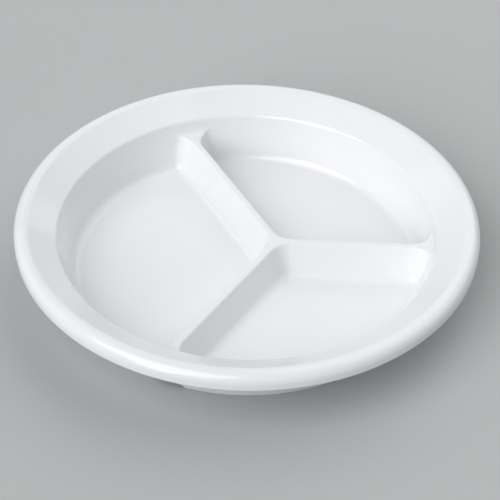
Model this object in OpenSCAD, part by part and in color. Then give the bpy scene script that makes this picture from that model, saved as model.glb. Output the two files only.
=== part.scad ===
// Round dinner plate with three compartments, moulded in one piece.
// Origin: centre of the base on the table. +X runs along the right divider.

/* [Plate] */
// Outer diameter over the rolled lip
plate_d = 229; // [200:1:260]
// Height from the table to the top of the lip
plate_h = 36.6; // [34.2:0.2:42]
// Thickness of the moulded wall, rim and lip
wall_t = 3.4; // [2.6:0.1:3.8]

/* [Lip and rim] */
// Outside radius of the rolled lip
lip_r = 5.1; // [4.4:0.1:6]
// Straight skirt under the roll of the lip
lip_drop = 2.1; // [1:0.1:4]
// Slope of the rim, in degrees from level
rim_slope = 30; // [24:1:34]
// Radius of the edge where the rim turns down into the well
edge_r = 2.5; // [1.5:0.1:4]
// Radius under the rim where it meets the well wall
under_r = 5; // [3:0.1:6]
// Distance from the outside of the lip to the rim's edge
rim_w = 20.9; // [18:0.1:23]

/* [Well] */
// Draft of the well wall, in degrees from upright
draft = 17; // [12:0.5:20]
// Radius between the floor and everything that rises from it
fillet_r = 5.5; // [4:0.5:7]
// Thickness of the floor
floor_t = 2.6; // [2.2:0.1:3.4]

/* [Dividers] */
// Height of the divider crests above the floor
divider_h = 16.6; // [14:0.1:19.4]
// Draft of the dividers, in degrees from upright
divider_draft = 22; // [18:0.5:24]
// Width of a divider at its crest, before the edges are rounded
crest_w = 3.4; // [3:0.1:5]
// Radius on both edges of a crest
crest_r = 1.2; // [0.8:0.1:1.4]
// Radius of the round top of the hollow under a divider
hollow_r = 1.5; // [1:0.1:2]
// Distance from the plate's axis to the place where the dividers meet
hub_x = 15; // [10:0.2:20]

/* [Foot] */
// Height of the foot ring
foot_h = 2.2; // [2.1:0.1:3]
// Width of the foot ring
foot_w = 4.4; // [3.4:0.1:5]
// Radius on the foot ring's lower edges
foot_r = 0.7; // [0.3:0.1:1]
// Number of drain notches in the foot ring
notch_count = 3; // [2:1:6]
// Width of a drain notch along the ring
notch_w = 15.6; // [8:0.2:20]
// Depth of a drain notch
notch_h = 1.8; // [0.8:0.1:2]
// Slope of the ends of a notch, in degrees from level
notch_slope = 45; // [35:1:60]
// Turn of the notches about the axis, in degrees from +X
notch_turn = 8.3; // [0:0.1:60]

/* [Hidden] */
$fn = 120;

// Overrun of every cut
over = 1;
// How far a side's end lies inside the circle of the fillet or round that it meets
bite = 0.002;
// Height of the step at the foot of the dividers' fillets, which keeps a root clear of the wall
step_h = 0.05;
// How far a root's edge stays from the line where it would thin out to nothing on the wall
root_trim = 0.8;
plate_r = plate_d / 2;
tan_draft = tan(draft);

// Centre of the lip's roll, and the direction square to the rim
roll = [plate_r - lip_r, plate_h - lip_r];
rim_normal = 90 + rim_slope;

// Sharp corner between the rim and the well wall, and half of the angle in it
edge_x = plate_r - rim_w;
edge_z = roll[1] + lip_r / cos(rim_slope) - (roll[0] - edge_x) * tan(rim_slope);
edge_half = (90 + rim_slope + draft) / 2;
// Run of the wall below that corner, down to the end of the radius under the rim
edge_run = (wall_t + under_r) / tan(edge_half);
seam_z = edge_z - edge_run * cos(draft);

// Heights of the floor and of the crests
floor_z = foot_h + floor_t;
crest_z = floor_z + divider_h;

// Reach of a compartment's side from the edge of its flat floor, at a height z, with the draft lean
function reach(z, lean) = fillet_r * cos(lean) + (z - floor_z - fillet_r * (1 - sin(lean))) * tan(lean);
// Inner and outer radius of the well wall at a height z
function wall_in(z) = edge_x - (edge_z - z) * tan_draft;
function wall_out(z) = wall_in(z) + wall_t / cos(draft);
// Point at a distance r in a direction a
function polar(r, a) = r * [cos(a), sin(a)];

// Radius of the flat floor, and half the width of a divider at its foot
floor_r = edge_x - reach(edge_z, draft);
foot_half = crest_w / 2 + reach(crest_z, divider_draft);

// Directions of the dividers, and of the compartments between them
divider_angles = [0, 120, 240];
main_angle = 180;
back_angle = 60;
front_angle = 300;
// Half of the angle between two dividers
half_angle = 60;
// From the meeting place of the dividers to the ends of their straight part
hub_reach = foot_half / tan(half_angle);
apex_reach = foot_half / sin(half_angle);

// Distance along the divider with direction a to the edge of the floor, at the side s from its
// centre line
function run(a, s) = sqrt(floor_r ^ 2 - (s - hub_x * sin(a)) ^ 2) - hub_x * cos(a);
function straight_run(a) = min(run(a, foot_half), run(a, -foot_half));

// Hollow under a divider: half width at the height z, and the height where its round top begins
function hollow_half(z) = crest_w / 2 + (crest_z - z) * tan(divider_draft) - wall_t / cos(divider_draft);
hollow_z = crest_z - (hollow_r - crest_w / 2 + wall_t / cos(divider_draft)) / tan(divider_draft);

// What a radius r leaves of the sharp corner p between lines in the directions a1 and a2;
// the corner point is moved past p by the overrun
module corner_scrap(p, a1, a2, r) {
  half = abs(a2 - a1) / 2;
  mid = (a1 + a2) / 2;
  centre = p + polar(r / sin(half), mid);
  difference() {
    polygon([p - polar(over, mid), p + polar(r / tan(half), a1), centre,
             p + polar(r / tan(half), a2)]);
    translate(centre) circle(r + bite);
  }
}

// End of a side with the draft lean at its fillet, from the edge of a flat floor at x = 0
function side_foot(lean) = [0, floor_z + fillet_r] + polar(fillet_r - bite, -lean);

// Quarter of the fillet's circle
module fillet_section() {
  intersection() {
    translate([0, floor_z + fillet_r]) circle(fillet_r);
    translate([0, floor_z - over]) square(fillet_r + over);
  }
}

// Half section of a compartment's space: the fillet and the drafted side, past the crests
module side_section() {
  top_z = crest_z + over;
  polygon([[0, floor_z + bite], side_foot(draft), [reach(top_z, draft), top_z], [0, top_z]]);
  fillet_section();
}

// The same space where its side is a divider, so that it opens over the round edge of the crest
module crest_section() {
  tangent = crest_r / tan((90 + divider_draft) / 2);
  crest_x = reach(crest_z, divider_draft);
  difference() {
    union() {
      polygon([[0, floor_z + step_h + bite], side_foot(divider_draft) + [0, step_h],
               [crest_x, crest_z] - polar(tangent, 90 - divider_draft),
               [crest_x + tangent, crest_z], [crest_x + tangent, crest_z + over],
               [0, crest_z + over]]);
      translate([0, step_h]) fillet_section();
    }
    translate([crest_x + tangent, crest_z - crest_r]) circle(crest_r);
  }
}

// The same space turned about a corner of the floor
module crest_corner() {
  rotate_extrude() crest_section();
}

// Section of the hollow under a divider
module hollow_section() {
  base_z = foot_h - over;
  polygon([[-hollow_half(base_z), base_z], [hollow_half(base_z), base_z],
           [hollow_r, hollow_z], [-hollow_r, hollow_z]]);
  translate([0, hollow_z]) circle(hollow_r);
}

// Half section across a divider, from the edge of a floor to the middle of the crest
module half_section() {
  difference() {
    translate([-foot_half, foot_h]) square([foot_half, crest_z - foot_h]);
    translate([-foot_half, 0]) crest_section();
  }
}

// Puts its children along the divider in the direction a
module along(a) {
  translate([hub_x, 0]) rotate(a) children();
}

// Extrudes a section along x, from start to stop
module run_section(start, stop) {
  translate([start, 0]) rotate([90, 0, 90]) linear_extrude(stop - start) children();
}

// Space inside the well wall and its fillet, down through the floor and up past the crests
module well_space() {
  base_z = foot_h - over;
  rotate_extrude() {
    translate([0, base_z]) square([floor_r, crest_z + over - base_z]);
    translate([floor_r, 0]) side_section();
  }
}

// Section of the lip: a roll of constant thickness and a skirt with a round end
module lip_section() {
  intersection() {
    translate(roll) difference() {
      circle(lip_r);
      circle(lip_r - wall_t);
    }
    polygon([roll, roll + polar(2 * lip_r, 0), roll + polar(2 * lip_r, rim_normal / 2),
             roll + polar(2 * lip_r, rim_normal)]);
  }
  translate([plate_r - wall_t, roll[1] - lip_drop]) square([wall_t, lip_drop]);
  translate([plate_r - wall_t / 2, roll[1] - lip_drop]) circle(wall_t / 2);
}

// Section of the rim: the sloping flange and the edge where it turns down
module rim_section() {
  edge = [edge_x, edge_z];
  down = -90 - draft;
  under_centre = edge + polar((wall_t + under_r) / sin(edge_half), rim_slope - edge_half);
  difference() {
    polygon([roll + polar(lip_r, rim_normal), edge, edge + polar(edge_run, down),
             under_centre + polar(under_r - bite, 180 - draft), under_centre,
             under_centre + polar(under_r - bite, rim_normal), roll + polar(lip_r - wall_t, rim_normal)]);
    translate(under_centre) circle(under_r);
    corner_scrap(edge, rim_slope, down, edge_r);
  }
}

// Section of the well wall, with the fillet down to the floor
module wall_section() {
  inner = [wall_in(seam_z), seam_z];
  difference() {
    polygon([[floor_r, foot_h], [wall_out(foot_h), foot_h], inner + polar(wall_t, -draft), inner,
             [floor_r, 0] + side_foot(draft), [floor_r, floor_z + fillet_r]]);
    translate([floor_r, floor_z + fillet_r]) circle(fillet_r);
  }
}

// Flat floor of the compartment in the direction a
module floor_panel(a) {
  translate([0, 0, foot_h]) linear_extrude(floor_t) intersection() {
    circle(floor_r);
    translate([hub_x, 0] + polar(apex_reach, a))
      polygon([[0, 0], polar(plate_d, a - half_angle), polar(plate_d, a), polar(plate_d, a + half_angle)]);
  }
}

// Straight part of the divider in the direction a, which ends beside the corners of the floors
module divider(a) {
  along(a) difference() {
    union() {
      run_section(hub_reach, run(a, foot_half)) mirror([1, 0]) half_section();
      run_section(hub_reach, run(a, -foot_half)) half_section();
    }
    run_section(hub_reach - over, straight_run(a)) hollow_section();
  }
}

// Root of the divider in the direction a: it spreads round the corners of the floors into the wall
module root(a) {
  axis = hub_x * [-cos(a), sin(a)];
  intersection() {
    along(a) for (side = [-1, 1]) {
      corner = [run(a, side * foot_half), side * foot_half];
      outward = (corner - axis) / norm(corner - axis);
      edge = corner - [0, side * root_trim];
      difference() {
        translate([0, 0, foot_h]) linear_extrude(crest_z - foot_h)
          polygon([edge, [corner[0], 0], [plate_d, 0], edge + plate_r * outward]);
        translate(corner) crest_corner();
      }
    }
    well_space();
  }
}

module lip() {
  color("white") rotate_extrude() lip_section();
}

module rim() {
  color("white") rotate_extrude() rim_section();
}

module wall() {
  color("white") rotate_extrude() wall_section();
}

module floor_main() {
  color("white") floor_panel(main_angle);
}

module floor_back() {
  color("white") floor_panel(back_angle);
}

module floor_front() {
  color("white") floor_panel(front_angle);
}

module divider_right() {
  color("white") divider(divider_angles[0]);
}

module divider_back() {
  color("white") divider(divider_angles[1]);
}

module divider_front() {
  color("white") divider(divider_angles[2]);
}

module root_right() {
  color("white") root(divider_angles[0]);
}

module root_back() {
  color("white") root(divider_angles[1]);
}

module root_front() {
  color("white") root(divider_angles[2]);
}

// Meeting place of the dividers
module divider_hub() {
  apexes = [for (a = divider_angles) polar(apex_reach, a + half_angle)];
  color("white") translate([hub_x, 0]) difference() {
    translate([0, 0, foot_h]) linear_extrude(crest_z - foot_h) polygon(apexes);
    for (apex = apexes) translate(apex) crest_corner();
    for (a = divider_angles) rotate(a) run_section(0, hub_reach + over) hollow_section();
  }
}

// Opening of a drain notch, seen along the radius
module notch_section() {
  top_w = notch_w - 2 * notch_h / tan(notch_slope);
  low_w = notch_w + 2 * over / tan(notch_slope);
  polygon([[-low_w / 2, -over], [low_w / 2, -over], [top_w / 2, notch_h], [-top_w / 2, notch_h]]);
}

module foot_ring() {
  outer = wall_out(0);
  color("white") difference() {
    rotate_extrude() difference() {
      polygon([[outer - foot_w, 0], [outer, 0], [wall_out(foot_h), foot_h],
               [outer - foot_w, foot_h]]);
      corner_scrap([outer, 0], 90 - draft, 180, foot_r);
      corner_scrap([outer - foot_w, 0], 0, 90, foot_r);
    }
    for (i = [0 : notch_count - 1]) rotate(notch_turn + i * 360 / notch_count)
      run_section(outer - foot_w - over, outer + over) notch_section();
  }
}

lip();
rim();
wall();
floor_main();
floor_back();
floor_front();
divider_right();
divider_back();
divider_front();
root_right();
root_back();
root_front();
divider_hub();
foot_ring();
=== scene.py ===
import math

import bpy
import numpy as np
from mathutils import Matrix, Vector


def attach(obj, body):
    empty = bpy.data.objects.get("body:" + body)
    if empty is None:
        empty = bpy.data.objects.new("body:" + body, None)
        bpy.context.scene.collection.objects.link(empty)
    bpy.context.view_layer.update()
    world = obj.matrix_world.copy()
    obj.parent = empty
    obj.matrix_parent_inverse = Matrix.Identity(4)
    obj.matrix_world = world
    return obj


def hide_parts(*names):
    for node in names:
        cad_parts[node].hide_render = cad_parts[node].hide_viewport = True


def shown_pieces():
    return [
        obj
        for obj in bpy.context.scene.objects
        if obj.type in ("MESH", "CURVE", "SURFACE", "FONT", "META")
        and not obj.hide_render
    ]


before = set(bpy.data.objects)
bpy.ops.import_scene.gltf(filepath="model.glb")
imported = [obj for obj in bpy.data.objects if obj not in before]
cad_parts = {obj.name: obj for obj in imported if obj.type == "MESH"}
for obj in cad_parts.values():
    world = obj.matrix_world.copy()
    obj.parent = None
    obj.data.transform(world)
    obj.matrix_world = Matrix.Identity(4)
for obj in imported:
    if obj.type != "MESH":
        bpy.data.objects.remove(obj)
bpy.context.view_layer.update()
MM = 0.001
FULL_TURN = 2 * math.pi


# Sizes of the lip, the rim and the well, in millimetres
PLATE_R = 114.5
PLATE_H = 36.6
WALL_T = 3.4
LIP_R = 5.1  # outside of the rolled lip
LIP_DROP = 2.1  # straight part of the skirt under the roll
RIM_W = 20.9  # from the outside of the plate to the well's upper edge
RIM_SLOPE = math.radians(30)
EDGE_R = 2.5  # round at the well's upper edge
UNDER_R = 5.0  # the same on the underside
DRAFT = math.radians(17)  # lean of the well wall
FILLET_R = 5.5  # at the foot of the wall and of the dividers
FLOOR_Z = 4.8  # upper surface of the flat floors

# Sizes of the dividers and the hub where they meet
DIVIDER_DRAFT = math.radians(22)
CREST_Z = 21.4
CREST_W = 3.4  # between the sharp edges that the rounds take away
CREST_R = 1.2
HUB_X = 15.0
HOLLOW_R = 1.5  # round top of the hollow under a divider
HOLLOW_TAPER = 4.0  # length over which the hollow runs out
ROOT_R = 4.0  # fillet between a crest's end and the well wall
ROOT_BLEND = 3.0  # difference in height over which a divider's face and the wall blend
ROOT_SINK = 0.05  # how deep a divider's surface runs out under the wall's
ROOT_DEPTH = WALL_T / 3  # how far behind the wall's face a divider's underside ends

# Sizes of the foot ring and its drain notches
FOOT_H = 2.2
FOOT_W = 4.4
FOOT_R = 0.7
NOTCH_COUNT = 3
NOTCH_W = 15.6
NOTCH_H = 1.8
NOTCH_TURN = math.radians(8.3)

# Fineness of round shapes: steps of a turned piece, angle of a step along an arc, and fewest steps
TURN_STEPS = 600
ARC_STEP = math.radians(3.0)
ARC_STEPS_LEAST = 3
SHARP_ANGLE = math.radians(35)

# Steps along the straight lines of the turned sections
RIM_STEPS = 6
RIM_EDGE_STEPS = 2
WALL_STEPS = 10
WALL_BASE_STEPS = 4
FOOT_STEPS = 2
NOTCH_SLOPE_POINTS = 7

# Points across a divider, from its foot to its middle
FILLET_POINTS = 30
SIDE_POINTS = 10
CREST_POINTS = 24
HOLLOW_POINTS = 10
POINT_GAP = 0.01  # points closer than this are one

# Points along a divider, in each half of the hub and along the sides of a floor
SPAN_POINTS = 24
TAPER_POINTS = 10
CORNER_POINTS = 10
CORNER_LEAST = 0.1  # a shorter stretch between a divider's two corners gets no points of its own
ROOT_POINTS = 40
ROOT_TURN_POINTS = 49
HUB_POINTS = 14
FLOOR_SIDE_POINTS = 30
FLOOR_RING_SHARES = (0.0, 0.1, 0.3, 0.6, 1.0)  # from a floor's outline to its centre

# Small values of the calculation
TINY = 1e-9  # anything below it counts as nothing
BLEND_LEAST_SHARE = 1e-6  # keeps the blend from a division by zero
NORMAL_STEP = 0.004  # each way, to measure the slope of the upper surface
PLACE_DIGITS = 4  # places in plan that agree to so many digits are one point
ANGLE_DIGITS = 9  # digits of the foot ring's angles


def polar(r, a):
    return r * np.array([math.cos(a), math.sin(a)])


def wrapped(a, turn=FULL_TURN):
    """The angle a, brought to within half a turn of zero."""
    return (a + turn / 2) % turn - turn / 2


def smooth(share):
    """A share from 0 to 1, with a soft start and end."""
    return share * share * (3 - 2 * share)


# Derived places of the lip and the rim, as (radius, height), and directions in their section
ROLL = np.array([PLATE_R - LIP_R, PLATE_H - LIP_R])
RIM_NORMAL = math.pi / 2 + RIM_SLOPE
EDGE = np.array([PLATE_R - RIM_W, 0.0])
EDGE[1] = ROLL[1] + LIP_R / math.cos(RIM_SLOPE) - (ROLL[0] - EDGE[0]) * math.tan(RIM_SLOPE)
EDGE_HALF = (math.pi / 2 + RIM_SLOPE + DRAFT) / 2
EDGE_RUN = (WALL_T + UNDER_R) / math.tan(EDGE_HALF)
TAN_DRAFT = math.tan(DRAFT)
SEAM = EDGE + polar(EDGE_RUN, -math.pi / 2 - DRAFT)


def fillet_z(lean):
    """Height at which the fillet meets a face with that lean."""
    return FLOOR_Z + FILLET_R * (1 - math.sin(lean))


def reach(z, lean):
    """Distance from the flat floor to the face with that lean, at the height z."""
    return FILLET_R * math.cos(lean) + (z - fillet_z(lean)) * math.tan(lean)


def wall_in(z):
    return EDGE[0] - (EDGE[1] - z) * TAN_DRAFT


def wall_out(z):
    return wall_in(z) + WALL_T / math.cos(DRAFT)


# Radii at which the flat floors begin, and at which the dividers end inside the wall
FLOOR_R = EDGE[0] - reach(EDGE[1], DRAFT)
ROOT_END = wall_in(CREST_Z + ROOT_R)

# Section of a divider, as distances from the flat floor: to the crest's sharp edge, to the start and
# the end of its round, and to the middle
CREST_X = reach(CREST_Z, DIVIDER_DRAFT)
CREST_RUN = CREST_R / math.tan((math.pi / 2 + DIVIDER_DRAFT) / 2)
CREST_START = CREST_X - CREST_RUN * math.sin(DIVIDER_DRAFT)
CREST_END = CREST_X + CREST_RUN
FOOT_HALF = CREST_W / 2 + CREST_X

# The hub's centre, the directions from it, and how far from it two dividers' feet and a floor begin
HUB = np.array([HUB_X, 0.0])
DIVIDERS = {"divider_right": 0.0, "divider_back": 2 * math.pi / 3, "divider_front": 4 * math.pi / 3}
FLOORS = {"floor_main": math.pi, "floor_back": math.pi / 3, "floor_front": 5 * math.pi / 3}
HALF_ANGLE = math.pi / 3
HUB_REACH = FOOT_HALF / math.tan(HALF_ANGLE)
APEX_REACH = FOOT_HALF / math.sin(HALF_ANGLE)


def hollow_half(z):
    """Half the width of the hollow under a divider, between its drafted sides."""
    return CREST_W / 2 + (CREST_Z - z) * math.tan(DIVIDER_DRAFT) - WALL_T / math.cos(DIVIDER_DRAFT)


HOLLOW_Z = CREST_Z - (HOLLOW_R - hollow_half(CREST_Z)) / math.tan(DIVIDER_DRAFT)


# Sections: a run is a list of (point, normal), and a closed section is a list of runs, counter-clockwise
def line(p, q, steps=1):
    p, q = np.array(p, float), np.array(q, float)
    d = (q - p) / np.linalg.norm(q - p)
    normal = np.array([d[1], -d[0]])
    return [(p + (q - p) * k / steps, normal) for k in range(steps + 1)]


def arc(centre, r, start, stop):
    steps = max(ARC_STEPS_LEAST, round(abs(stop - start) / ARC_STEP))
    side = 1 if stop > start else -1
    angles = [start + (stop - start) * k / steps for k in range(steps + 1)]
    return [(np.array(centre) + polar(r, a), side * polar(1.0, a)) for a in angles]


def make_piece(name, nodes, vertices, faces, normals):
    """Mesh from points in millimetres, with one normal for each corner of each face."""
    mesh = bpy.data.meshes.new(name)
    mesh.from_pydata([tuple(v) for v in np.asarray(vertices) * MM], [], faces)
    mesh.validate()
    mesh.shade_smooth()
    mesh.set_sharp_from_angle(angle=SHARP_ANGLE)
    mesh.normals_split_custom_set([tuple(n) for n in normals])
    piece = bpy.data.objects.new(name, mesh)
    bpy.context.scene.collection.objects.link(piece)
    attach(piece, "root")
    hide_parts(*nodes)


TURN_ANGLES = np.arange(TURN_STEPS) * FULL_TURN / TURN_STEPS


def turned(name, runs, angles=TURN_ANGLES, rise=None):
    """Ring with the section that the runs bound. rise(angle) is how far its base is pressed up."""
    points, corners = [], []
    for run in runs:
        for (point, start), (_, stop) in zip(run, run[1:]):
            corners.append((len(points), start, stop))
            points.append(point)
    count = len(points)
    rises = [rise(a) if rise else 0.0 for a in angles]
    r, z = np.array(points).T
    spin = [(math.cos(a), math.sin(a)) for a in angles]
    vertices = np.zeros((len(angles), count, 3))
    for i, (c, s) in enumerate(spin):
        vertices[i, :, 0] = r * c
        vertices[i, :, 1] = r * s
        vertices[i, :, 2] = rises[i] + z * (1 - rises[i] / z.max())
    faces, normals = [], []
    for i in range(len(angles)):
        j = (i + 1) % len(angles)
        # A zero normal leaves the shading of a pressed face to its own shape
        keep = 0 if rises[i] + rises[j] > 0 else 1
        for k, start, stop in corners:
            after = (k + 1) % count
            faces.append((i * count + k, j * count + k, j * count + after, i * count + after))
            for (c, s), v in ((spin[i], start), (spin[j], start), (spin[j], stop), (spin[i], stop)):
                normals.append((keep * v[0] * c, keep * v[0] * s, keep * v[1]))
    make_piece(name, [name], vertices.reshape(-1, 3), faces, normals)


# Lip: a roll of constant thickness with a skirt that ends in a half round
def make_lip():
    low = ROLL[1] - LIP_DROP
    end = [PLATE_R - WALL_T / 2, low]
    inner_r = LIP_R - WALL_T
    turned("lip", [
        line([PLATE_R, low], [PLATE_R, ROLL[1]]),
        arc(ROLL, LIP_R, 0, RIM_NORMAL),
        line(ROLL + polar(LIP_R, RIM_NORMAL), ROLL + polar(inner_r, RIM_NORMAL)),
        arc(ROLL, inner_r, RIM_NORMAL, 0),
        line([PLATE_R - WALL_T, ROLL[1]], [PLATE_R - WALL_T, low]),
        arc(end, WALL_T / 2, -math.pi, 0),
    ])


# Rim: the sloping flange, and the round edge where it turns down into the well
def make_rim():
    under = EDGE + polar((WALL_T + UNDER_R) / math.sin(EDGE_HALF), RIM_SLOPE - EDGE_HALF)
    tip = EDGE + polar(EDGE_R / math.sin(EDGE_HALF), RIM_SLOPE - EDGE_HALF)
    start = ROLL + polar(LIP_R, RIM_NORMAL)
    stop = ROLL + polar(LIP_R - WALL_T, RIM_NORMAL)
    wall_normal = math.pi - DRAFT
    turned("rim", [
        line(start, tip + polar(EDGE_R, RIM_NORMAL), RIM_STEPS),
        arc(tip, EDGE_R, RIM_NORMAL, wall_normal),
        line(tip + polar(EDGE_R, wall_normal), SEAM, RIM_EDGE_STEPS),
        line(SEAM, under + polar(UNDER_R, wall_normal)),
        arc(under, UNDER_R, wall_normal, RIM_NORMAL),
        line(under + polar(UNDER_R, RIM_NORMAL), stop, RIM_STEPS),
        line(stop, start),
    ])


# Well wall with the fillet down to the floor
def make_wall():
    centre = np.array([FLOOR_R, FLOOR_Z + FILLET_R])
    foot = centre + polar(FILLET_R, -DRAFT)
    seam_out = SEAM + polar(WALL_T, -DRAFT)
    turned("wall", [
        line([FLOOR_R, FOOT_H], [wall_out(FOOT_H), FOOT_H], WALL_BASE_STEPS),
        line([wall_out(FOOT_H), FOOT_H], seam_out, WALL_STEPS),
        line(seam_out, SEAM),
        line(SEAM, foot, WALL_STEPS),
        arc(centre, FILLET_R, -DRAFT, -math.pi / 2),
        line([FLOOR_R, FLOOR_Z], [FLOOR_R, FOOT_H]),
    ])


# Foot ring: its lower part is pressed up in the drain notches
def notch_rise(a):
    along = abs(wrapped(a - NOTCH_TURN, FULL_TURN / NOTCH_COUNT)) * wall_out(0)
    share = min(max((NOTCH_W / 2 - along) / NOTCH_H, 0.0), 1.0)
    return NOTCH_H * share if share > TINY else 0.0


def foot_angles():
    """Steps all round, with finer ones at one end of each notch. The other end is one long slope."""
    angles = set(np.round(TURN_ANGLES, ANGLE_DIGITS))
    slope = np.linspace(NOTCH_W / 2 - NOTCH_H, NOTCH_W / 2, NOTCH_SLOPE_POINTS) / wall_out(0)
    for i in range(NOTCH_COUNT):
        middle = NOTCH_TURN + i * FULL_TURN / NOTCH_COUNT
        angles -= {a for a in angles if abs(abs(a - middle) - slope.mean()) < slope[-1] - slope[0]}
        angles |= set(middle + slope)
    return np.array(sorted(angles))


def make_foot():
    outer = wall_out(0)
    inner = outer - FOOT_W
    outer_half = (math.pi / 2 + DRAFT) / 2
    corner = np.array([outer, 0]) + polar(FOOT_R / math.sin(outer_half), math.pi - outer_half)
    inside = [inner + FOOT_R, FOOT_R]
    turned("foot_ring", [
        line([inside[0], 0], [corner[0], 0], FOOT_STEPS),
        arc(corner, FOOT_R, -math.pi / 2, -DRAFT),
        line(corner + polar(FOOT_R, -DRAFT), [wall_out(FOOT_H), FOOT_H], FOOT_STEPS),
        line([wall_out(FOOT_H), FOOT_H], [inner, FOOT_H], FOOT_STEPS),
        line([inner, FOOT_H], [inner, inside[1]], FOOT_STEPS),
        arc(inside, FOOT_R, -math.pi, -math.pi / 2),
    ], foot_angles(), notch_rise)


# Upper surface: its height follows from each place's distance to the three flat floors
def side_run(apex, d):
    """Length of a floor's straight side, from its apex in the direction d to the round side."""
    ahead = apex @ d
    return -ahead + math.sqrt(FLOOR_R ** 2 - (apex @ apex - ahead ** 2))


def wedge_distance(x, y, a):
    """Distance from the flat floor of the compartment in the direction a, zero on it."""
    apex = HUB + polar(APEX_REACH, a)
    best = np.full(x.shape, np.inf)
    inside = np.hypot(x, y) <= FLOOR_R
    for side in (-1, 1):
        d = polar(1.0, a + side * HALF_ANGLE)
        along = np.clip((x - apex[0]) * d[0] + (y - apex[1]) * d[1], 0, side_run(apex, d))
        best = np.minimum(best, np.hypot(x - apex[0] - along * d[0], y - apex[1] - along * d[1]))
        inside &= side * (d[0] * (y - apex[1]) - d[1] * (x - apex[0])) <= 0
    # The round side counts where the way to it is straight out from the axis
    r = np.maximum(np.hypot(x, y), TINY)
    rim_x, rim_y = x / r * FLOOR_R - apex[0], y / r * FLOOR_R - apex[1]
    turn = np.abs(wrapped(np.arctan2(rim_y, rim_x) - a))
    best = np.where(turn <= HALF_ANGLE, np.minimum(best, np.abs(r - FLOOR_R)), best)
    return np.where(inside, 0.0, best)


def floor_distance(x, y):
    """Distance from the nearest of the three flat floors."""
    return np.min([wedge_distance(x, y, a) for a in FLOORS.values()], axis=0)


def circle_height(r, off):
    """Height of a circle over its centre, at a distance off from the middle."""
    return np.sqrt(np.maximum(r ** 2 - np.clip(off, 0, r) ** 2, 0))


def side_height(s, lean):
    """Height of a side at a distance s from its flat floor: the fillet, then the drafted face."""
    start = FILLET_R * math.cos(lean)
    face = fillet_z(lean) + (s - start) / math.tan(lean)
    return np.where(s > start, face, FLOOR_Z + FILLET_R - circle_height(FILLET_R, s))


def divider_height(s):
    """The same with the round edge and the level top of a crest."""
    round_z = CREST_Z - CREST_R + circle_height(CREST_R, CREST_END - s)
    z = np.where(s > CREST_START, round_z, side_height(s, DIVIDER_DRAFT))
    return np.where(s > CREST_END, CREST_Z, z)


def crest_fillet(r):
    """Rise of the fillet at the end of a level crest over both the crest and the wall."""
    start = wall_in(CREST_Z) - ROOT_R * math.tan(math.pi / 4 - DRAFT / 2)
    off = np.clip(r - start, 0, ROOT_R * math.cos(DRAFT))
    z = CREST_Z + ROOT_R - np.sqrt(ROOT_R ** 2 - off ** 2)
    return np.clip(z - np.maximum(CREST_Z, EDGE[1] - (EDGE[0] - r) / TAN_DRAFT), 0, None)


def top_height(x, y):
    """Height of the upper surface: the higher of divider and wall, with a soft blend between them."""
    divider = divider_height(floor_distance(x, y))
    wall = side_height(np.maximum(np.hypot(x, y) - FLOOR_R, 0), DRAFT)
    # The blend grows from nothing at the floor's fillet to its full size at the crest
    low = fillet_z(DIVIDER_DRAFT)
    grown = (np.minimum(divider, wall) - low) / (CREST_Z - low)
    blend = ROOT_BLEND * np.clip(grown, BLEND_LEAST_SHARE, 1)
    face = np.clip(blend - np.abs(divider - wall), 0, None) ** 2 / (4 * blend)
    on_crest = smooth(np.clip(1 - (CREST_Z - divider) / CREST_R, 0, 1))
    rise = face + on_crest * (crest_fillet(np.hypot(x, y)) - face)
    sink = np.where(rise > 0, 0, np.clip((wall - divider - blend) / 2, 0, ROOT_SINK))
    return np.maximum(divider, wall) + rise - sink


def top_normal(x, y):
    step = NORMAL_STEP
    dx = (top_height(x + step, y) - top_height(x - step, y)) / (2 * step)
    dy = (top_height(x, y + step) - top_height(x, y - step)) / (2 * step)
    n = np.stack([-dx, -dy, np.ones_like(dx)], axis=-1)
    return n / np.linalg.norm(n, axis=-1, keepdims=True)


def hollow_height(s):
    """Height of the underside at a distance s from the edge of a divider's foot."""
    from_middle = np.clip(FOOT_HALF - s, 0, None)
    z = FOOT_H + (hollow_half(FOOT_H) - from_middle) / math.tan(DIVIDER_DRAFT)
    z = np.where(from_middle < HOLLOW_R, HOLLOW_Z + circle_height(HOLLOW_R, from_middle), z)
    return np.clip(z, FOOT_H, None)


def foot_to_middle():
    """Distances from a divider's foot to its middle, close together where the section bends."""
    steep = math.pi / 2 - DIVIDER_DRAFT
    fillet = [FILLET_R * math.sin(a) for a in np.linspace(0, steep, FILLET_POINTS)]
    side = list(np.linspace(fillet[-1], CREST_START, SIDE_POINTS))
    crest = [CREST_END - CREST_R * math.sin(a) for a in np.linspace(steep, 0, CREST_POINTS)]
    hollow = [FOOT_HALF - HOLLOW_R * math.sin(a) for a in np.linspace(math.pi / 2, 0, HOLLOW_POINTS)]
    kept = [0.0]
    for s in sorted(fillet + side + crest + hollow + [FOOT_HALF - hollow_half(FOOT_H)]):
        if s - kept[-1] > POINT_GAP:
            kept.append(s)
    kept[-1] = FOOT_HALF
    return np.array(kept)


SPACING = foot_to_middle()


def spoke(foot, end):
    """Points from a foot to an end, spaced as SPACING, and stretched past the crest's round."""
    foot, end = np.array(foot), np.array(end)
    length = np.linalg.norm(end - foot)
    if length < FOOT_HALF:
        s = SPACING * length / FOOT_HALF
    else:
        past = np.clip(SPACING - CREST_END, 0, None)
        s = np.minimum(SPACING, CREST_END) + past * (length - CREST_END) / (FOOT_HALF - CREST_END)
    return foot + np.outer(s / length, end - foot)


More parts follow.
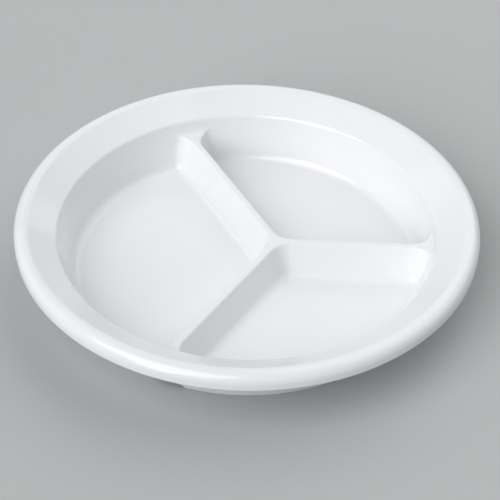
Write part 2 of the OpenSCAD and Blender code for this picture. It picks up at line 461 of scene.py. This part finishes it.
def join_grids(grids):
    """Points in plan that the grids share, and the faces between them, counter-clockwise."""
    index, plan, faces = {}, [], []

    def number(p):
        key = (round(p[0], PLACE_DIGITS), round(p[1], PLACE_DIGITS))
        if key not in index:
            index[key] = len(plan)
            plan.append((p[0], p[1]))
        return index[key]

    for grid in grids:
        rows, columns = grid.shape[:2]
        numbers = [[number(grid[i, j]) for j in range(columns)] for i in range(rows)]
        for i in range(rows - 1):
            for j in range(columns - 1):
                around = [numbers[i][j], numbers[i][j + 1], numbers[i + 1][j + 1], numbers[i + 1][j]]
                face = [n for k, n in enumerate(around) if n != around[k - 1]]
                if len(set(face)) < 3:
                    continue
                corners = [plan[n] for n in face]
                area = sum(a[0] * b[1] - a[1] * b[0] for a, b in zip(corners, corners[1:] + corners[:1]))
                faces.append(face if area > 0 else face[::-1])
    return plan, faces


def moulded(name, nodes, grids, bottom_height):
    """Closed piece over grids of places in plan: its top is the plate's surface."""
    plan, faces = join_grids(grids)
    edges = {(a, b) for face in faces for a, b in zip(face, face[1:] + face[:1])}
    border = [(a, b) for a, b in edges if (b, a) not in edges]
    x, y = np.array(plan).T
    count = len(plan)
    vertices = np.concatenate([
        np.stack([x, y, top_height(x, y)], axis=1),
        np.stack([x, y, bottom_height(x, y)], axis=1),
    ])
    upward = top_normal(x, y)
    normals = [upward[n] for face in faces for n in face]
    under = [[n + count for n in reversed(face)] for face in faces]
    sides = [[b, a, a + count, b + count] for a, b in sorted(border)]
    # Zero normals leave the underside and the sides to their own shape
    normals += [(0, 0, 0)] * sum(len(face) for face in under + sides)
    make_piece(name, nodes, vertices, faces + under + sides, normals)


# Dividers: each straight part and its root in the wall are one piece
def divider_grids(a):
    """Plan of both halves of a divider, its direction, and how far from the hub its taper ends."""
    d, n = polar(1.0, a), polar(1.0, a + math.pi / 2)

    def run(radius, off):
        """Way from the hub, beside the middle line by off, to the circle of that radius."""
        return math.sqrt(radius ** 2 - (off - HUB_X * math.sin(a)) ** 2) - HUB_X * math.cos(a)

    ends = {side: run(FLOOR_R, side * FOOT_HALF) for side in (-1, 1)}
    near, far, last = min(ends.values()), max(ends.values()), run(ROOT_END, 0)
    along = list(np.linspace(HUB_REACH, near - HOLLOW_TAPER, SPAN_POINTS))
    along += list(np.linspace(near - HOLLOW_TAPER, near, TAPER_POINTS)[1:])
    if far - near > CORNER_LEAST:
        along += list(np.linspace(near, far, CORNER_POINTS)[1:])
    along += list(np.linspace(far, last, ROOT_POINTS)[1:])
    tip = HUB + last * d
    start = math.atan2(tip[1], tip[0])
    grids = []
    for side, end in ends.items():
        feet = [HUB + min(u, end) * d + side * FOOT_HALF * n for u in along]
        rows = [spoke(foot, HUB + u * d) for foot, u in zip(feet, along)]
        corner = feet[-1]
        turn = wrapped(math.atan2(corner[1], corner[0]) - start)
        for share in np.linspace(0, 1, ROOT_TURN_POINTS)[1:]:
            rows.append(spoke(corner, polar(ROOT_END, start + share * turn)))
        grids.append(np.array(rows))
    return grids, d, near


def make_divider(name, a):
    grids, d, near = divider_grids(a)

    def bottom(x, y):
        along = (x - HUB[0]) * d[0] + (y - HUB[1]) * d[1]
        share = smooth(np.clip((near - along) / HOLLOW_TAPER, 0, 1))
        in_wall = EDGE[1] - (EDGE[0] + ROOT_DEPTH - np.hypot(x, y)) / TAN_DRAFT
        return np.maximum(FOOT_H + (hollow_height(floor_distance(x, y)) - FOOT_H) * share, in_wall)

    moulded(name, [name, name.replace("divider", "root")], grids, bottom)


# Hub: for each floor, the sector between its apex and the hub's centre
def make_hub():
    grids = []
    up, down = np.linspace(0, 1, HUB_POINTS), np.linspace(1, 0, HUB_POINTS)[1:]
    for a in FLOORS.values():
        apex = HUB + polar(APEX_REACH, a)
        rows = []
        for side, shares in ((-1, up), (1, down)):
            middle = HUB + polar(HUB_REACH, a + side * HALF_ANGLE)
            rows += [spoke(apex, middle + (HUB - middle) * share) for share in shares]
        grids.append(np.array(rows))
    moulded("divider_hub", ["divider_hub"], grids, lambda x, y: hollow_height(floor_distance(x, y)))


# Flat floors: rings from the outline of a compartment to its centre
def make_floor(name, a):
    apex = HUB + polar(APEX_REACH, a)
    directions = [polar(1.0, a + side * HALF_ANGLE) for side in (-1, 1)]
    first, second = (apex + d * side_run(apex, d) for d in directions)
    start, stop = math.atan2(first[1], first[0]), math.atan2(second[1], second[0])
    stop = start + (stop - start) % FULL_TURN
    steps = round((stop - start) * TURN_STEPS / FULL_TURN)
    outline = [apex + (first - apex) * t for t in np.linspace(0, 1, FLOOR_SIDE_POINTS)]
    outline += [polar(FLOOR_R, t) for t in np.linspace(start, stop, steps)[1:]]
    outline += [second + (apex - second) * t for t in np.linspace(0, 1, FLOOR_SIDE_POINTS)[1:]]
    outline = np.array(outline)
    centre = outline.mean(axis=0)
    grid = np.array([[p + (centre - p) * share for share in FLOOR_RING_SHARES] for p in outline])
    moulded(name, [name], [grid], lambda x, y: np.full(x.shape, FOOT_H))


make_lip()
make_rim()
make_wall()
make_foot()
make_hub()
for name, a in DIVIDERS.items():
    make_divider(name, a)
for name, a in FLOORS.items():
    make_floor(name, a)


# Values of the plate's material; a noise is its scale, detail and roughness
BODY_DARK = (0.79, 0.795, 0.817, 1)
BODY_LIGHT = (0.83, 0.835, 0.857, 1)
CLOUD_NOISE = (14, 3, 0.5)
CLOUD_START = 0.3
CLOUD_STOP = 0.7
ROUGH_LOW = 0.09
ROUGH_HIGH = 0.14
ROUGH_NOISE = (60, 4, 0.6)
RUB_HEIGHT = 0.0012
RUB_ROUGH = 0.3
RIPPLE_NOISE = (220, 2, 0.5)
RIPPLE_STRENGTH = 0.25
RIPPLE_DEPTH = 0.00004
MELAMINE_IOR = 1.52
SPECULAR = 0.5


# Material: glossy white melamine, with the faint cloud, ripple and wear of a moulded plate
def melamine():
    material = bpy.data.materials.new("melamine_white")
    material.use_nodes = True
    nodes, links = material.node_tree.nodes, material.node_tree.links
    shader = nodes["Principled BSDF"]
    shader.inputs["IOR"].default_value = MELAMINE_IOR
    shader.inputs["Specular IOR Level"].default_value = SPECULAR
    place = nodes.new("ShaderNodeTexCoord").outputs["Object"]

    def noise(scale, detail, rough):
        n = nodes.new("ShaderNodeTexNoise")
        n.inputs["Scale"].default_value = scale
        n.inputs["Detail"].default_value = detail
        n.inputs["Roughness"].default_value = rough
        links.new(place, n.inputs["Vector"])
        return n.outputs["Fac"]

    cloud = nodes.new("ShaderNodeValToRGB")
    dark, light = cloud.color_ramp.elements
    dark.position, dark.color = CLOUD_START, BODY_DARK
    light.position, light.color = CLOUD_STOP, BODY_LIGHT
    links.new(noise(*CLOUD_NOISE), cloud.inputs["Fac"])
    links.new(cloud.outputs["Color"], shader.inputs["Base Color"])

    gloss = nodes.new("ShaderNodeMapRange")
    gloss.inputs["To Min"].default_value = ROUGH_LOW
    gloss.inputs["To Max"].default_value = ROUGH_HIGH
    links.new(noise(*ROUGH_NOISE), gloss.inputs["Value"])

    # The foot is rubbed dull where it stands
    split = nodes.new("ShaderNodeSeparateXYZ")
    links.new(place, split.inputs["Vector"])
    foot = nodes.new("ShaderNodeMapRange")
    foot.inputs["From Min"].default_value = 0.0
    foot.inputs["From Max"].default_value = RUB_HEIGHT
    foot.inputs["To Min"].default_value = RUB_ROUGH
    foot.inputs["To Max"].default_value = 0.0
    links.new(split.outputs["Z"], foot.inputs["Value"])
    rough = nodes.new("ShaderNodeMath")
    rough.operation = "ADD"
    links.new(gloss.outputs["Result"], rough.inputs[0])
    links.new(foot.outputs["Result"], rough.inputs[1])
    links.new(rough.outputs["Value"], shader.inputs["Roughness"])

    ripple = nodes.new("ShaderNodeBump")
    ripple.inputs["Strength"].default_value = RIPPLE_STRENGTH
    ripple.inputs["Distance"].default_value = RIPPLE_DEPTH
    links.new(noise(*RIPPLE_NOISE), ripple.inputs["Height"])
    links.new(ripple.outputs["Normal"], shader.inputs["Normal"])
    return material


white = melamine()
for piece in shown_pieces():
    piece.data.materials.clear()
    piece.data.materials.append(white)
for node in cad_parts.values():
    if node.data.materials:
        for k in range(len(node.data.materials)):
            node.data.materials[k] = white
    else:
        node.data.materials.append(white)


# Floor: a pale plain sheet that runs out far past the view
SHEET_HALF = 4.0
FLOOR_COLOUR = (0.45, 0.46, 0.465, 1)
FLOOR_ROUGH = 0.6


def make_floor_sheet():
    mesh = bpy.data.meshes.new("studio_floor")
    corners = [(-1, -1), (1, -1), (1, 1), (-1, 1)]
    mesh.from_pydata([(x * SHEET_HALF, y * SHEET_HALF, 0) for x, y in corners], [], [(0, 1, 2, 3)])
    sheet = bpy.data.objects.new("studio_floor", mesh)
    bpy.context.scene.collection.objects.link(sheet)
    material = bpy.data.materials.new("studio_grey")
    material.use_nodes = True
    shader = material.node_tree.nodes["Principled BSDF"]
    shader.inputs["Base Color"].default_value = FLOOR_COLOUR
    shader.inputs["Roughness"].default_value = FLOOR_ROUGH
    mesh.materials.append(material)


make_floor_sheet()


# Soft studio lamps: direction from +X and height in degrees, the angle that each fills, and strength
LAMPS = {
    "key": (229, 44, 56, 2.08),
    "front_left_low": (233, 14, 18, 0.36),
    "front": (250, 20, 28, 0.12),
    "back_left": (155, 25, 43, 0.26),
    "back_right_high": (34, 46, 69, 1.02),
    "back": (86, 26, 57, 0.44),
}


def add_holder(name, data, place, facing):
    """Object for a lamp or a camera, at a place and turned by a quaternion."""
    holder = bpy.data.objects.new(name, data)
    bpy.context.scene.collection.objects.link(holder)
    holder.location = place
    holder.rotation_mode = "QUATERNION"
    holder.rotation_quaternion = facing
    return holder


def make_lamp(name, turn, height, spread, strength):
    """Far lamp, so that the floor is lit evenly out to its edge."""
    lamp = bpy.data.lights.new(name, "SUN")
    lamp.angle = math.radians(spread)
    lamp.energy = strength
    turn, height = math.radians(turn), math.radians(height)
    flat = math.cos(height)
    place = Vector((flat * math.cos(turn), flat * math.sin(turn), math.sin(height)))
    add_holder(name, lamp, place, (-place).to_track_quat("-Z", "Y"))


for name, lamp in LAMPS.items():
    make_lamp(name, *lamp)


# World: a weak fill light that shows as a backdrop of about the floor's own brightness
FILL = 0.16
BACKDROP = 0.54
WORLD_TINT = (0.98, 1, 1, 1)


def make_world():
    world = bpy.data.worlds.new("studio")
    world.use_nodes = True
    nodes, links = world.node_tree.nodes, world.node_tree.links
    path = nodes.new("ShaderNodeLightPath")
    seen = nodes.new("ShaderNodeMath")
    seen.operation = "MAXIMUM"
    links.new(path.outputs["Is Camera Ray"], seen.inputs[0])
    links.new(path.outputs["Is Glossy Ray"], seen.inputs[1])
    strength = nodes.new("ShaderNodeMapRange")
    strength.inputs["To Min"].default_value = FILL
    strength.inputs["To Max"].default_value = BACKDROP
    links.new(seen.outputs["Value"], strength.inputs["Value"])
    links.new(strength.outputs["Result"], nodes["Background"].inputs["Strength"])
    nodes["Background"].inputs["Color"].default_value = WORLD_TINT
    bpy.context.scene.world = world


make_world()


# Camera at the photograph's viewing angle
CAMERA_PLACE = Vector((22.32, -710.18, 616.68)) * MM
CAMERA_AIM = Vector((1.84, -6.53, 20.0)) * MM
CAMERA_LENS = 134.46
CAMERA_SENSOR = 36
CAMERA_ROLL = math.radians(1.096)


def make_camera():
    camera = bpy.data.cameras.new("camera")
    camera.lens = CAMERA_LENS
    camera.sensor_width = CAMERA_SENSOR
    look = (CAMERA_AIM - CAMERA_PLACE).to_track_quat("-Z", "Y").to_matrix()
    facing = (look @ Matrix.Rotation(CAMERA_ROLL, 3, "Z")).to_quaternion()
    bpy.context.scene.camera = add_holder("camera", camera, CAMERA_PLACE, facing)


make_camera()
bpy.context.scene.view_settings.view_transform = "Standard"
